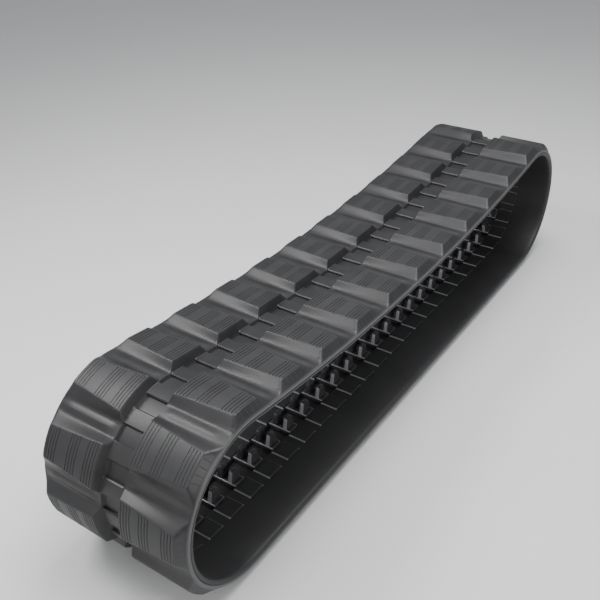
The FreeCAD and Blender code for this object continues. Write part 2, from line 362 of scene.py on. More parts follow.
# ---- Node helpers -------------------------------------------------------------------------------
def join(tree, node, links):
    """Sets a node's inputs, by name or number, to a value, a socket or another node's first output."""
    for name, value in links.items():
        if isinstance(name, int):
            socket = node.inputs[name]
        else:
            socket = next(s for s in node.inputs if s.name == name and s.enabled)
        if isinstance(value, bpy.types.Node):
            value = next(s for s in value.outputs if s.enabled)
        if isinstance(value, bpy.types.NodeSocket):
            tree.links.new(value, socket)
        else:
            socket.default_value = (*value, 1) if socket.type == "RGBA" else value


def add_node(tree, kind, links=None, **settings):
    """Adds a node with its settings and links."""
    node = tree.nodes.new(kind)
    for name, value in settings.items():
        setattr(node, name, value)
    join(tree, node, links or {})
    return node


# ---- Laying things along the belt ---------------------------------------------------------------
def new_tree(name, **inputs):
    """An empty geometry node tree with its named inputs of each kind, and the sockets that give them."""
    tree = bpy.data.node_groups.new(name, "GeometryNodeTree")
    for kind, labels in inputs.items():
        for label in labels:
            tree.interface.new_socket(name=label, in_out="INPUT", socket_type="NodeSocket" + kind)
    tree.interface.new_socket(name="Geometry", in_out="OUTPUT", socket_type="NodeSocketGeometry")
    return tree, add_node(tree, "NodeGroupInput").outputs


def close_tree(tree, geometry, material):
    """Ends a tree in real, painted mesh."""
    real = add_node(tree, "GeometryNodeRealizeInstances", {"Geometry": geometry})
    painted = add_node(tree, "GeometryNodeSetMaterial", {"Geometry": real, "Material": material})
    add_node(tree, "NodeGroupOutput", {"Geometry": painted})


def station_row(tree, count, step, first):
    """Points in a flat row along X, a step apart, from the first station."""
    offset = add_node(tree, "ShaderNodeCombineXYZ", {"X": step})
    start = add_node(tree, "ShaderNodeCombineXYZ", {"X": first})
    return add_node(tree, "GeometryNodeMeshLine",
                    {"Count": count, "Offset": offset, "Start Location": start})


def place_on_belt(tree, belt_line, station):
    """Sample of the belt line at a station, and the outward direction there."""
    line = add_node(tree, "GeometryNodeObjectInfo", {"Object": belt_line}).outputs["Geometry"]
    loop = add_node(tree, "GeometryNodeCurveLength", {"Curve": line})
    wrapped = add_node(tree, "ShaderNodeMath", {0: station, 1: loop, 2: 0.0}, operation="WRAP")
    sample = add_node(tree, "GeometryNodeSampleCurve", {"Curves": line, "Length": wrapped}, mode="LENGTH")
    outward = add_node(tree, "ShaderNodeVectorMath", {0: sample.outputs["Tangent"], 1: (0, 1, 0)},
                       operation="CROSS_PRODUCT")
    return sample, add_node(tree, "ShaderNodeVectorMath", {0: outward}, operation="NORMALIZE")


def skin_tree():
    """Repeats a flat cell of rubber and bends the row round the belt line.

    The flat place (station, across, height) is kept as the attribute "flat", which the finishes read."""
    tree, given = new_tree("Skin along the belt", Object=["Cell", "Belt line"], Int=["Cells"],
                           Float=["Cell length", "First station", "Merge"], Material=["Rubber"])
    row = station_row(tree, given["Cells"], given["Cell length"], given["First station"])
    cell = add_node(tree, "GeometryNodeObjectInfo", {"Object": given["Cell"]}).outputs["Geometry"]
    copies = add_node(tree, "GeometryNodeInstanceOnPoints", {"Points": row, "Instance": cell})
    real = add_node(tree, "GeometryNodeRealizeInstances", {"Geometry": copies})
    flat = add_node(tree, "GeometryNodeMergeByDistance", {"Geometry": real, "Distance": given["Merge"]})
    place = add_node(tree, "GeometryNodeInputPosition")
    kept = add_node(tree, "GeometryNodeStoreNamedAttribute",
                    {"Geometry": flat, "Name": "flat", "Value": place},
                    data_type="FLOAT_VECTOR", domain="POINT")
    apart = add_node(tree, "ShaderNodeSeparateXYZ", {0: place}).outputs
    sample, outward = place_on_belt(tree, given["Belt line"], apart["X"])
    lift = add_node(tree, "ShaderNodeVectorMath", {0: outward, "Scale": apart["Z"]}, operation="SCALE")
    across = add_node(tree, "ShaderNodeCombineXYZ", {"Y": apart["Y"]})
    there = sample.outputs["Position"]
    for shift in (lift, across):
        there = add_node(tree, "ShaderNodeVectorMath", {0: there, 1: shift}, operation="ADD")
    bent = add_node(tree, "GeometryNodeSetPosition", {"Geometry": kept, "Position": there})
    close_tree(tree, bent, given["Rubber"])
    return tree


def core_tree():
    """Sets stiff copies of one part on the belt line, each turned to the belt's heading."""
    tree, given = new_tree("Cores along the belt", Object=["Core", "Belt line"], Int=["Cores"],
                           Float=["Pitch", "First station"], Material=["Steel"])
    row = station_row(tree, given["Cores"], given["Pitch"], given["First station"])
    place = add_node(tree, "GeometryNodeInputPosition")
    station = add_node(tree, "ShaderNodeSeparateXYZ", {0: place}).outputs["X"]
    sample, outward = place_on_belt(tree, given["Belt line"], station)
    turn = add_node(tree, "FunctionNodeAxesToRotation", {0: sample.outputs["Tangent"], 1: outward},
                    primary_axis="X", secondary_axis="Z")
    kept = add_node(tree, "GeometryNodeCaptureAttribute", {"Geometry": row}, domain="POINT")
    kept.capture_items.new("ROTATION", "Turn")
    join(tree, kept, {"Turn": turn})
    laid = add_node(tree, "GeometryNodeSetPosition",
                    {"Geometry": kept, "Position": sample.outputs["Position"]})
    core = add_node(tree, "GeometryNodeObjectInfo", {"Object": given["Core"]}).outputs["Geometry"]
    copies = add_node(tree, "GeometryNodeInstanceOnPoints",
                      {"Points": laid, "Instance": core, "Rotation": kept.outputs["Turn"]})
    close_tree(tree, copies, given["Steel"])
    return tree


def grown(name, tree, values):
    """The plain mesh that a tree makes with these input values, as a new object."""
    host = placed(name, bpy.data.meshes.new(name + "_host"))
    modifier = host.modifiers.new("laid", "NODES")
    modifier.node_group = tree
    sockets = {s.name: s.identifier for s in tree.interface.items_tree if s.in_out == "INPUT"}
    for label, value in values.items():
        modifier[sockets[label]] = value
    graph = bpy.context.evaluated_depsgraph_get()
    made = bpy.data.meshes.new_from_object(host.evaluated_get(graph))
    host.modifiers.remove(modifier)
    host.data = made
    made.name = name
    if not made.polygons:
        raise RuntimeError(f"{name} came out empty")
    return host


def close_ends(mesh):
    """Closes the two cut ends of a length of belt and smooths all but its sharp edges."""
    work = bmesh.new()
    work.from_mesh(mesh)
    bmesh.ops.holes_fill(work, edges=[edge for edge in work.edges if edge.is_boundary], sides=0)
    bmesh.ops.recalc_face_normals(work, faces=work.faces)
    work.to_mesh(mesh)
    work.free()
    mesh.polygons.foreach_set("use_smooth", [True] * len(mesh.polygons))
    mesh.set_sharp_from_angle(angle=SHARP_RUBBER)


# The loop is open at one plane between these two lengths: the way each one's cut end faces along X.
SEAM_ENDS = {"near_span_mid": 1, "far_span_mid": -1}


def lap_seam(mesh, way):
    """Carries the cut end at the seam a little past it, so that no gap shows when the belt bends."""
    farthest = max(way * vertex.co.x for vertex in mesh.vertices)
    for vertex in mesh.vertices:
        if way * vertex.co.x > farthest - SEAM_END:
            vertex.co.x += way * SEAM_LAP


def cell_object(name, grid):
    """A flat cell: a grid of rings, one ring of points for each station, open at its two ends."""
    rings, around = grid.shape[:2]
    corners = np.arange(rings * around).reshape(rings, around)
    beside = np.roll(corners, -1, axis=1)
    faces = np.stack([corners[:-1], corners[1:], beside[1:], beside[:-1]], axis=-1).reshape(-1, 4)
    mesh = bpy.data.meshes.new(name)
    mesh.from_pydata(grid.reshape(-1, 3).tolist(), [], faces.tolist())
    return placed(name, mesh)


def discard(*objects):
    for thing in objects:
        bpy.data.objects.remove(thing)


def both_ways(values):
    """The values and their mirror images about zero, in order, without repeats."""
    return sorted({-value for value in values} | set(values))


# ---- Outer rubber -------------------------------------------------------------------------------
# Groove groups on a block top: distance of the first groove from the belt's middle, and their number.
GROOVES = ((50 * MM, 4), (104 * MM, 4), (169.5 * MM, 5))
POCKET_LIP = 0.4 * MM       # half the width of the pocket's steep ends
WEB_FILLET = 3 * MM         # fillet between a block and the web beside it


def soft_min(a, b, width):
    """The lower of two heights, rounded where they cross."""
    near = np.maximum(width - np.abs(a - b), 0) / width
    return np.minimum(a, b) - near * near * width / 4


def soft_max(a, b, width):
    return -soft_min(-a, -b, width)


def eased(value):
    """Nought to one, eased at both ends."""
    value = np.clip(value, 0, 1)
    return value * value * (3 - 2 * value)


def tread_stations(tread):
    """Lines across the belt in a cell of two pitches, closest at the edges of blocks and pockets."""
    pitch = sizes("track_belt").pitch
    pocket = tread.pocket_half
    top = pitch - (tread.half_length - tread.run_inner)
    ridge = [tread.ridge_half * share for share in (0, 0.2, 0.4, 0.6, 0.8, 1)]
    quarter = ridge + [
        pocket - POCKET_LIP, pocket + POCKET_LIP, pocket + tread.pocket_chamfer, 27 * MM, 30.5 * MM,
        top - 2.4 * MM, top - 0.9 * MM, top + 0.5 * MM, top + 2 * MM, pitch / 2 - 2.6 * MM, pitch / 2,
    ]
    half = quarter + [pitch - station for station in reversed(quarter[:-1])]
    return np.array(half[:-1] + [pitch + station for station in half])


def groove_places(tread):
    return [first + tread.groove_pitch * k for first, count in GROOVES for k in range(count)]


def tread_lines(tread):
    """Lines along the belt, by their distance from its middle, with four to each groove."""
    edge = sizes("track_belt").half_width - sizes("track_belt").edge_round
    inner = [share * MM for share in (0, 11, 22, 28.6, 29.4, 31.5, 33.9, 35.4, 38, 40.6, 42.6, 44.2, 46)]
    plain = [share * MM for share in (86, 95, 140, 150, 160)]
    outer = [tread.outer_top + step * MM for step in (1.6, 3, 5, 8, 11, 13.5, 16)]
    quarter = tread.groove_width / 4
    grooves = [place + side * quarter for place in groove_places(tread) for side in (-2, -1, 1, 2)]
    grooves = [line for line in grooves if line < outer[0] - 0.3 * MM]
    return np.array(both_ways(inner + plain + grooves + outer + [edge]))


def block_run(tread, across):
    """Run of a block's front and back slopes at a distance from the belt's middle."""
    share = np.clip((across - tread.inner_top) / (tread.outer_top - tread.inner_top), 0, 1)
    return tread.run_inner + share * (tread.run_outer - tread.run_inner)


def drawn_in(tread, along, across):
    """Moves the lines on a block so that they follow its tapering top."""
    narrow = tread.half_length - block_run(tread, across)
    wide = tread.half_length - tread.run_inner
    on_top = along * narrow / wide
    on_slope = narrow + (along - wide) * (tread.half_length - narrow) / tread.run_inner
    return np.where(along <= wide, on_top, np.where(along < tread.half_length, on_slope, along))


def groove_share(tread, across):
    """One at the bottom of a groove, nought beside it."""
    share = np.zeros_like(across)
    half = tread.groove_width / 2
    for place in groove_places(tread):
        share = np.maximum(share, np.clip((half - np.abs(across - place)) / (half / 2), 0, 1))
    return share


def block_surface(tread, along, across):
    """Height of one block's four slopes and grooved top, by distances from its centre and the middle."""
    run = block_run(tread, across)
    slope = tread.height * (tread.half_length - along) / run
    inner = tread.height * (across - tread.inner_base) / (tread.inner_top - tread.inner_base)
    outer = tread.height * (tread.outer_base - across) / (tread.outer_base - tread.outer_top)
    kept = np.clip((tread.half_length - run - along) / tread.groove_end, 0, 1)
    top = tread.height - tread.groove_depth * kept * groove_share(tread, across)
    sides = soft_min(soft_min(slope, inner, tread.top_round), outer, tread.hip_round)
    return soft_min(sides, top, tread.top_round)


def ridge_surface(tread, along, across):
    """Height of the rounded cross ridge in the valley, by the distance from its own centre line."""
    swell = 1 - eased(along / tread.ridge_half)
    inner_end = eased((across - tread.inner_base - tread.pocket_chamfer) / tread.ridge_inner)
    outer_end = eased((tread.outer_base - across) / tread.ridge_outer)
    return tread.ridge_height * swell * inner_end * outer_end


def tread_surface(tread, station, across, side):
    """Height of the outer rubber: valley, ridge, block and pocket."""
    pitch = sizes("track_belt").pitch
    centre = 0.0 if side < 0 else pitch
    from_block = np.abs((station - centre + pitch) % (2 * pitch) - pitch)
    from_plane = np.abs((station + pitch / 2) % pitch - pitch / 2)
    in_pocket = (from_plane < tread.pocket_half) & (across < tread.inner_base)
    banked = np.clip((tread.inner_base - across) / tread.pocket_bank, 0, 1)
    ridge = ridge_surface(tread, pitch - from_block, across)
    chamfer_run = tread.pocket_chamfer - POCKET_LIP
    near_pocket = tread.pocket_half + tread.pocket_chamfer - from_plane
    chamfer = np.clip(near_pocket / chamfer_run, 0, 1) * banked
    ground = np.where(in_pocket, -tread.pocket_floor * banked, ridge - tread.pocket_chamfer * chamfer)
    block = np.where(in_pocket, -tread.height, block_surface(tread, from_block, across))
    fillet = np.where(across < tread.inner_base, WEB_FILLET, tread.base_round)
    return soft_max(block, ground, fillet)


def tread_cell():
    """Two pitches of outer rubber laid flat: one whole block of each row, between two hinge planes."""
    belt = sizes("track_belt")
    tread = sizes("track_tread")
    stations = tread_stations(tread)
    lines = tread_lines(tread)
    top = np.zeros((len(stations), len(lines), 3))
    for column, line in enumerate(lines):
        side = -1 if line < 0 else 1
        centre = 0.0 if side < 0 else belt.pitch
        offset = (stations - centre + belt.pitch) % (2 * belt.pitch) - belt.pitch
        moved = drawn_in(tread, np.abs(offset), np.full_like(stations, abs(line)))
        along = stations + np.sign(offset) * (moved - np.abs(offset))
        top[:, column, 0] = along
        top[:, column, 1] = line
        top[:, column, 2] = tread_surface(tread, along, np.full_like(along, abs(line)), side)
    edge = []
    for turn in (30, 60, 90):
        angle = math.radians(turn)
        edge.append((belt.half_width - belt.edge_round * (1 - math.sin(angle)),
                     -belt.edge_round * (1 - math.cos(angle))))
    lip = 1.8 * MM
    edge += [(belt.half_width, -belt.tread_bottom + lip), (belt.half_width - lip, -belt.tread_bottom)]
    under = [sizes("track_wheel_side").ply_inner, tread.inner_base + 2.6 * MM, tread.inner_base + 2 * MM]
    edge += [(across, -belt.tread_bottom) for across in under]
    ring = edge + [(-across, height) for across, height in reversed(edge)]
    rest = np.zeros((len(stations), len(ring), 3))
    rest[:, :, 0] = stations[:, None]
    rest[:, :, 1:] = np.array(ring)[None]
    from_plane = np.abs((stations + belt.pitch / 2) % belt.pitch - belt.pitch / 2)
    web = np.abs(rest[:, :, 1]) < tread.inner_base + 2.3 * MM
    rest[:, :, 2] -= np.where(web & (from_plane < tread.pocket_half)[:, None], 1.4 * MM, 0)
    return cell_object("tread_cell", np.concatenate([top, rest], axis=1))


# ---- Wheel-side rubber --------------------------------------------------------------------------
def pad_surface(wheel_side, along, across):
    """How far a roller pad stands out, by distances from its centre and from the belt's middle."""
    ends = (wheel_side.pad_half - along) / wheel_side.pad_end
    inner = (across - wheel_side.pad_inner) / (0.5 * wheel_side.pad_bevel)
    outer = (wheel_side.pad_outer - across) / wheel_side.pad_bevel
    return wheel_side.pad_rise * np.clip(np.minimum(np.minimum(ends, inner), outer), 0, 1)


def band_cell(side):
    """One pitch of wheel-side rubber laid flat, with the pad over one core in its middle."""
    belt = sizes("track_belt")
    wheel_side = sizes("track_wheel_side")
    half = belt.pitch / 2
    pad = wheel_side.pad_half
    ends = [pad - wheel_side.pad_end, pad, pad + 0.3 * MM, half - 6 * MM, half]
    stations = np.array(both_ways([0, 7 * MM, 14 * MM, 21 * MM] + ends))
    inner, pad_inner, pad_outer = wheel_side.inner_edge, wheel_side.pad_inner, wheel_side.pad_outer
    edge = belt.half_width
    depth = -wheel_side.depth
    seam = -belt.tread_bottom - 0.1 * MM
    bevel = wheel_side.pad_bevel
    face = [inner + 1.2 * MM, pad_inner - 0.2 * MM, pad_inner, pad_inner + bevel / 2, 70 * MM,
            pad_outer - bevel, pad_outer, pad_outer + 0.3 * MM, 150 * MM, edge - 24 * MM]
    ring = [(across, depth) for across in face]
    ring += [(edge - 13 * MM, depth + 0.8 * MM), (edge - 5.4 * MM, depth + 1.5 * MM),
             (edge - 3.4 * MM, depth + 2.5 * MM), (edge - 1.2 * MM, depth + 6 * MM),
             (edge - 0.2 * MM, depth + 8.5 * MM), (edge, seam - 1.8 * MM), (edge - 1.8 * MM, seam)]
    ring += [(wheel_side.ply_outer, seam), (wheel_side.ply_outer, -wheel_side.ply_bottom),
             (wheel_side.ply_inner, -wheel_side.ply_bottom), (wheel_side.ply_inner, seam)]
    ring += [(inner, seam), (inner, depth + 1.2 * MM)]
    grid = np.zeros((len(stations), len(ring), 3))
    grid[:, :, 0] = (stations + half)[:, None]
    grid[:, :, 1:] = np.array(ring)[None]
    on_face = np.arange(len(ring)) < len(face)
    rise = pad_surface(wheel_side, np.abs(stations)[:, None], grid[:, :, 1])
    grid[:, :, 2] -= np.where(on_face[None], rise, 0)
    grid[:, :, 1] *= side
    return cell_object("band_cell", grid)


# ---- Steel cores --------------------------------------------------------------------------------
def rounded_ring(half_x, half_y, corner, steps):
    """Points round a rectangle with rounded corners, about its own centre."""
    points = []
    for quarter in range(4):
        sign_x = (1, -1, -1, 1)[quarter]
        sign_y = (1, 1, -1, -1)[quarter]
        for step in range(steps + 1):
            angle = math.pi / 2 * (quarter + step / steps)
            points.append((sign_x * (half_x - corner) + corner * math.cos(angle),
                           sign_y * (half_y - corner) + corner * math.sin(angle)))
    return points


def shell(name, rings):
    """A closed mesh through a row of rings of equal count, with its two ends capped."""
    count = len(rings[0])
    points = [point for ring in rings for point in ring]
    faces = [list(range(count)), list(range(len(points) - count, len(points)))]
    for first in range(0, len(points) - count, count):
        for k in range(count):
            after = (k + 1) % count
            faces.append([first + k, first + after, first + count + after, first + count + k])
    work = bmesh.new()
    corners = [work.verts.new(point) for point in points]
    for face in faces:
        work.faces.new([corners[k] for k in face])
    bmesh.ops.recalc_face_normals(work, faces=work.faces)
    mesh = bpy.data.meshes.new(name)
    work.to_mesh(mesh)
    work.free()
    return placed(name, mesh)


def core_bar():
    """Bridge and wings of a core: one forged bar across the belt, thick between the pockets."""
    core = sizes("track_core")
    rings = []
    # place across the belt, share of the full section, and thickness from the wing's to the bridge's
    reach, bridge = core.wing_reach, core.bridge_half
    shape = [(reach, 0.55, 0), (reach - 1.5 * MM, 0.85, 0), (reach - 5 * MM, 1, 0), (bridge + 6 * MM, 1, 0),
             (bridge + 2.5 * MM, 1, 0.35), (bridge, 1, 0.85), (bridge - 2.5 * MM, 1, 1), (14 * MM, 1, 1)]
    rows = shape + [(-across, size, thick) for across, size, thick in reversed(shape)]
    for across, size, thick in rows:
        top = core.wing_top + thick * (core.bridge_top - core.wing_top)
        bottom = core.wing_bottom + thick * (core.bridge_bottom - core.wing_bottom)
        half_x = size * (core.wing_half + thick * (core.bridge_length / 2 - core.wing_half))
        half_z = size * (bottom - top) / 2
        corner = min(1.8 * MM, half_z * 0.8)
        ring = rounded_ring(half_x, half_z, corner, 2)
        rings.append([(x, across, -(top + bottom) / 2 + z) for x, z in ring])
    return shell("core_bar", rings)


def guide_lug(side):
    """One tapered guide lug, flared where it grows out of the bridge and domed at its tip."""
    core = sizes("track_core")
    sunk = 3 * MM
    rise = core.lug_tip - core.bridge_bottom
    # share of the lug's rise, extra flare at the root, and how much of the section is left at the tip
    levels = [(-0.08, 2.0, 1), (0.0, 1.4, 1), (0.03, 0.6, 1), (0.06, 0.1, 1), (0.12, 0, 1), (0.5, 0, 1),
              (0.95, 0, 1), (0.98, 0, 0.96), (1.0, 0, 0.86)]
    rings = []
    for share, flare, left in levels:
        taper = max(share, 0)
        half_x = core.lug_root_half + taper * (core.lug_tip_half - core.lug_root_half)
        half_x = half_x * left + 0.4 * flare * MM
        inner = core.lug_root_inner + taper * (core.lug_tip_inner - core.lug_root_inner) - 0.5 * flare * MM
        outer = core.lug_root_outer + taper * (core.lug_tip_outer - core.lug_root_outer) + flare * MM
        half_y = (outer - inner) / 2 * left
        depth = core.bridge_bottom + (rise * share if share > 0 else -sunk * (1 + share))
        corner = min(1.6 * MM, half_y * 0.7)
        ring = rounded_ring(half_x, half_y, corner, 3)
        rings.append([(x, side * ((inner + outer) / 2 + y), -depth) for x, y in ring])
    return shell("guide_lug", rings)


def united_core():
    """The bar and its two lugs made one body."""
    body = core_bar()
    for side in (1, -1):
        lug = guide_lug(side)
        joined = body.modifiers.new("joined", "BOOLEAN")
        joined.operation = "UNION"
        joined.solver = "EXACT"
        joined.object = lug
        graph = bpy.context.evaluated_depsgraph_get()
        body.data = bpy.data.meshes.new_from_object(body.evaluated_get(graph))
        body.modifiers.clear()
        discard(lug)
    body.data.polygons.foreach_set("use_smooth", [True] * len(body.data.polygons))
    body.data.set_sharp_from_angle(angle=SHARP_STEEL)
    places = np.array([vertex.co for vertex in body.data.vertices], dtype=np.float32)
    body.data.attributes.new("flat", "FLOAT_VECTOR", "POINT").data.foreach_set("vector", places.ravel())
    return body


# ---- Finishes -----------------------------------------------------------------------------------
def new_finish(name):
    """An empty node material with its tree and the place that its patterns read."""
    material = bpy.data.materials.new(name)
    material.use_nodes = True
    tree = material.node_tree
    tree.nodes.clear()
    return material, tree, add_node(tree, "ShaderNodeTexCoord").outputs["Object"]


def close_finish(tree, look, relief=None, depth=0.0, strength=1.0):
    """Ends a finish in its shader, with a relief of this depth where it has one."""
    if relief is not None:
        bump = {"Height": relief, "Distance": depth, "Strength": strength}
        look["Normal"] = add_node(tree, "ShaderNodeBump", bump)
    shader = add_node(tree, "ShaderNodeBsdfPrincipled", look)
    add_node(tree, "ShaderNodeOutputMaterial", {"Surface": shader})


def flat_place(tree):
    """A point's place on the flat belt, its distances along, to the left and out, and from the middle."""
    flat = add_node(tree, "ShaderNodeAttribute", attribute_name="flat").outputs["Vector"]
    along, left, height = add_node(tree, "ShaderNodeSeparateXYZ", {0: flat}).outputs
    return flat, along, left, height, add_node(tree, "ShaderNodeMath", {0: left}, operation="ABSOLUTE")


def area(tree, *limits):
    """A mask that is one inside all of its limits: a value, where the mask is nought and where one."""
    mask = 1.0
    for value, nought, one in limits:
        share = add_node(tree, "ShaderNodeMapRange", {"Value": value, "From Min": nought, "From Max": one})
        mask = add_node(tree, "ShaderNodeMath", {0: share, 1: mask}, operation="MULTIPLY")
    return mask


def sum_of(tree, base, *terms):
    """A base value and the sum of weighted patterns: each term is a pattern and its weight."""
    total = base
    for pattern, weight in terms:
        total = add_node(tree, "ShaderNodeMath", {0: pattern, 1: weight, 2: total},
                         operation="MULTIPLY_ADD")
    return total


def coated(tree, base, *coats):
    """A base colour under coats of other colours: each coat is its share and its colour."""
    for share, coat in coats:
        base = add_node(tree, "ShaderNodeMix", {"Factor": share, "A": base, "B": coat}, data_type="RGBA")
    return base


def moulded_tread_rubber():
    """Carbon-black rubber from a machined steel mould: satin, with a fine grain and, on the block tops,
    hairlines left along the belt by the mould's cutter. A thin wax bloom lightens it in soft patches.
    The block tops are painted lighter, as lit from above, and a painted highlight runs along its edges."""
    tones = sizes("track_colours")
    material, tree, place = new_finish("Moulded tread rubber")
    flat, along, _, height, across = flat_place(tree)
    bloom = add_node(tree, "ShaderNodeTexNoise",
                     {"Vector": place, "Scale": 1 / (70 * MM), "Detail": 4, "Roughness": 0.6})
    # real grain is about 0.3 mm, drawn coarse to show
    grain = add_node(tree, "ShaderNodeTexNoise",
                     {"Vector": place, "Scale": 1 / (1.6 * MM), "Detail": 2, "Roughness": 0.6})
    stretched = add_node(tree, "ShaderNodeMapping", {"Vector": flat, "Scale": (0.03, 1, 0.05)})
    hairlines = add_node(tree, "ShaderNodeTexNoise",
                         {"Vector": stretched, "Scale": 1 / (1.4 * MM), "Detail": 2, "Roughness": 0.5})
    block_top = area(tree, (height, 19 * MM, 22 * MM))
    lined = add_node(tree, "ShaderNodeMath", {0: hairlines, 1: block_top}, operation="MULTIPLY")
    patches = area(tree, (bloom, 0.35, 0.75))
    # lighter in wax-bloom patches and grain, and painted lighter on the block tops, as lit from above
    lightened = sum_of(tree, 0.0, (patches, 0.5), (block_top, 0.22), (grain, 0.1))
    # painted highlight along the belt's two side edges, in the light grey tone
    highlighted = sum_of(tree, 0.0, (area(tree, (across, 221 * MM, 224 * MM)), 0.3), (grain, 0.02))
    # hairline creases of mould flash on the outer ends of the blocks, 17.2 mm apart
    fold = add_node(tree, "ShaderNodeMath", {0: along, 1: 8.6 * MM}, operation="PINGPONG")
    crease = area(tree, (fold, 0.9 * MM, 0.2 * MM), (across, 205 * MM, 208 * MM), (height, 2 * MM, 6 * MM))
    close_finish(tree, {
        "Base Color": coated(tree, tones.rubber, (lightened, tones.lighter_rubber),
                             (highlighted, tones.rubber_highlight)),
        "Roughness": sum_of(tree, 0.36, (bloom, 0.12), (grain, 0.08), (lined, 0.1)),
        "IOR": 1.52,
    }, sum_of(tree, 0.0, (grain, 0.3), (lined, 0.25), (bloom, 0.6), (crease, -5.0)), 0.12 * MM, 0.8)
    return material


def wheel_side_rubber():
    """Plainer, duller rubber of the wheel side, pressed against a blasted mould core. The ends of its
    pads carry a painted highlight in light grey."""
    belt = sizes("track_belt")
    tones = sizes("track_colours")
    material, tree, place = new_finish("Wheel side rubber")
    _, along, _, _, across = flat_place(tree)
    patches = add_node(tree, "ShaderNodeTexNoise",
                       {"Vector": place, "Scale": 1 / (90 * MM), "Detail": 4, "Roughness": 0.6})
    # blast texture of about 0.5 mm, drawn coarse to show
    grain = add_node(tree, "ShaderNodeTexNoise",
                     {"Vector": place, "Scale": 1 / (2.2 * MM), "Detail": 3, "Roughness": 0.6})
    station = add_node(tree, "ShaderNodeMath", {0: along, 1: belt.first_core}, operation="SUBTRACT")
    from_core = add_node(tree, "ShaderNodeMath", {0: station, 1: belt.pitch / 2}, operation="PINGPONG")
    # painted highlight on the two end slopes of each roller pad
    pad_end_highlight = area(tree, (from_core, 25.7 * MM, 26.5 * MM), (from_core, 29.6 * MM, 29 * MM),
                    (across, 39 * MM, 41 * MM), (across, 98 * MM, 96 * MM))
    lightened = sum_of(tree, 0.0, (area(tree, (patches, 0.35, 0.75)), 0.35), (grain, 0.15))
    close_finish(tree, {
        "Base Color": coated(tree, tones.rubber, (lightened, tones.lighter_rubber),
                             (pad_end_highlight, tones.rubber_highlight)),
        "Roughness": sum_of(tree, 0.38, (patches, 0.15), (grain, 0.15)),
        "IOR": 1.52,
    }, grain, 0.15 * MM, 0.7)
    return material


def forged_core_steel():
    """Hot-forged carbon steel, blasted and coated with dark bonding primer. A painted highlight lightens
    the edges of the bridges and the faces of the right-hand lugs; the left-hand lugs are left dark, as in
    shade."""
    core = sizes("track_core")
    tones = sizes("track_colours")
    material, tree, place = new_finish("Forged core steel")
    scale = add_node(tree, "ShaderNodeTexNoise",
                     {"Vector": place, "Scale": 1 / (9 * MM), "Detail": 5, "Roughness": 0.65})
    pits = add_node(tree, "ShaderNodeTexNoise",
                    {"Vector": place, "Scale": 1 / (1.8 * MM), "Detail": 3, "Roughness": 0.6})
    clear = area(tree, (scale, 0.3, 0.7))
    _, along, left, height, across = flat_place(tree)
    ahead = add_node(tree, "ShaderNodeMath", {0: along}, operation="ABSOLUTE")
    root = -core.bridge_bottom
    lean = core.lug_root_half - core.lug_tip_half
    # painted highlight on the bridges' wheel-side edges and on the lugs' front and back faces
    end = sum_of(tree, ahead, (area(tree, (height, root, -core.lug_tip)), lean))
    edges = area(tree, (end, core.lug_root_half - 1.5 * MM, core.lug_root_half), (across, 40 * MM, 37 * MM),
                 (height, root + 5 * MM, root + 1 * MM))
    # the painted highlight leaves out the left-hand lugs, which are left dark, as in shade
    left_lug = area(tree, (height, root, root - 2 * MM), (left, 0, 2 * MM))
    not_left_lugs = add_node(tree, "ShaderNodeMath", {0: 1.0, 1: left_lug}, operation="SUBTRACT")
    steel_highlight_mask = add_node(tree, "ShaderNodeMath", {0: edges, 1: not_left_lugs}, operation="MULTIPLY")
    close_finish(tree, {
        "Base Color": coated(tree, tones.steel_scale, (clear, tones.steel), (steel_highlight_mask, tones.steel_highlight)),
        "Roughness": sum_of(tree, 0.36, (clear, -0.08), (pits, 0.1)),
        "Metallic": 0.2,
    }, sum_of(tree, 0.0, (scale, 0.5), (pits, 0.4)), 0.1 * MM, 0.6)
    return material


def brass_plated_cord():
    """Twisted steel cords, brass plated to hold the rubber, lying side by side 4.2 mm apart."""
    tones = sizes("track_colours")
    material, tree, place = new_finish("Brass plated cord ply")
    spacing = 4.2 * MM
    cords = add_node(tree, "ShaderNodeTexWave", {"Vector": place, "Scale": math.pi / (10 * spacing)},
                     bands_direction="Y", wave_profile="SIN").outputs["Fac"]
    stain = add_node(tree, "ShaderNodeTexNoise",
                     {"Vector": place, "Scale": 1 / (14 * MM), "Detail": 4, "Roughness": 0.6})
    plated = area(tree, (cords, 0.25, 0.6))
    share = sum_of(tree, 0.0, (plated, 0.85), (stain, 0.15))
    brass = coated(tree, tones.rubber, (share, tones.brass))
    close_finish(tree, {"Base Color": brass, "Metallic": plated, "Roughness": 0.38}, cords, 0.8 * MM)
    return material


def pale_floor():
    """Matt painted studio floor."""
    pale = sizes("track_colours").floor
    material, tree, place = new_finish("Pale studio floor")
    cloud = add_node(tree, "ShaderNodeTexNoise", {"Vector": place, "Scale": 1 / 0.6, "Detail": 3,
                                                  "Roughness": 0.5})
    paint = coated(tree, [0.94 * part for part in pale], (cloud, pale))
    close_finish(tree, {"Base Color": paint, "Roughness": 0.7})
    return material


# ---- Operators ----------------------------------------------------------------------------------
def lay_skin(kind, cell, cell_planes, material):
    """Makes every length of one skin of the belt and gives each length that has no hinge to its body."""
    belt = sizes("track_belt")
    line = belt_line()
    tree = skin_tree()
    for name, (first, last, hinge) in LENGTHS.items():
        piece = grown(f"{name}_{kind}", tree, {
            "Cell": cell,
            "Belt line": line,
            "Cells": (last - first) // cell_planes,
            "Cell length": belt.pitch * cell_planes,
            "First station": plane_station(first),
            "Merge": MERGE,
            "Rubber": material,
        })
        if name in SEAM_ENDS:
            lap_seam(piece.data, SEAM_ENDS[name])
        close_ends(piece.data)
        join_to_bodies(piece, first, last, hinge)
        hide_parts(*[f"{stretch}_{kind}" for stretch in stretches_between(first, last)])
    discard(cell, line)


class TRACK_OT_tread(bpy.types.Operator):
    """Make the outer rubber with its tread blocks, ridges and pockets"""
    bl_idname = "track.tread"
    bl_label = "Outer rubber"

    def execute(self, context):
        lay_skin("tread", tread_cell(), 2, moulded_tread_rubber())
        return {"FINISHED"}


